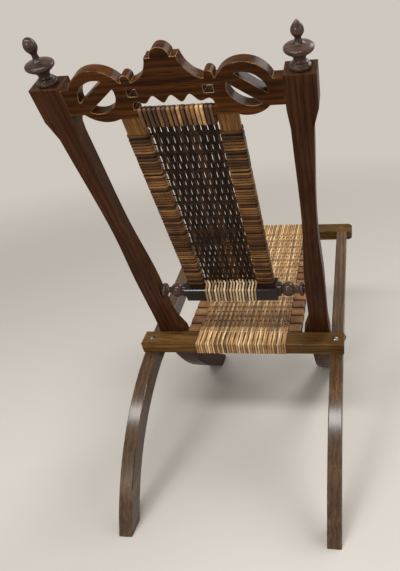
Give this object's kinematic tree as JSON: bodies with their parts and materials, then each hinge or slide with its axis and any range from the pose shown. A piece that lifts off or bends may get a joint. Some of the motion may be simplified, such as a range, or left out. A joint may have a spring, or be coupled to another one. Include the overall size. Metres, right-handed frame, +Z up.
{
  "type": "folding side chair",
  "caption": "Low folding side chair in walnut with a woven cane seat and back, sawn curved legs, a pierced arched crest rail and turned finials; the back folds over the seat.",
  "frame": {"origin": "on the floor, at the centre of the chair's length and width", "axes": "+Z up, +Y the way the sitter faces, +X to the sitter's right"},
  "size_m": [0.486, 0.815, 0.9067],
  "materials": {
    "leg_walnut": "polished",
    "rail_walnut": "polished",
    "stile_walnut": "polished",
    "turned_walnut": "gloss",
    "slat_wood": "satin",
    "peg_wood": "satin",
    "seat_cane": "woven cane, satin",
    "back_cane": "woven cane, satin",
    "screw_steel": "worn",
    "pivot_iron": "dark"
  },
  "bodies": {
    "seat_frame": {"left_side_leg": "leg_walnut", "right_side_leg": "leg_walnut", "rear_seat_rail": "rail_walnut", "front_seat_rail": "rail_walnut", "left_seat_slat": "slat_wood", "right_seat_slat": "slat_wood", "left_seat_slat_wrap": "seat_cane", "right_seat_slat_wrap": "seat_cane", "seat_cane": "seat_cane", "rear_rail_screws": "screw_steel", "front_rail_pegs": "peg_wood", "pivot_bolts": "pivot_iron", "pivot_washers": "pivot_iron", "pivot_nuts": "pivot_iron"},
    "back_frame": {"left_stile": "stile_walnut", "right_stile": "stile_walnut", "crest_rail": "stile_walnut", "lower_back_rail": "turned_walnut", "left_back_slat": "slat_wood", "right_back_slat": "slat_wood", "left_back_slat_wrap": "back_cane", "right_back_slat_wrap": "back_cane", "back_cane": "back_cane", "crest_wrap": "back_cane", "lower_rail_wrap": "seat_cane", "left_finial": "turned_walnut", "right_finial": "turned_walnut", "leg_brace": "turned_walnut"}
  },
  "joints": [
    {"name": "fold", "type": "hinge", "parent": "seat_frame", "child": "back_frame", "pos_m": [0, -0.04118, 0.253], "axis": [-1, 0, 0], "range_deg": [0, 80]}
  ]
}
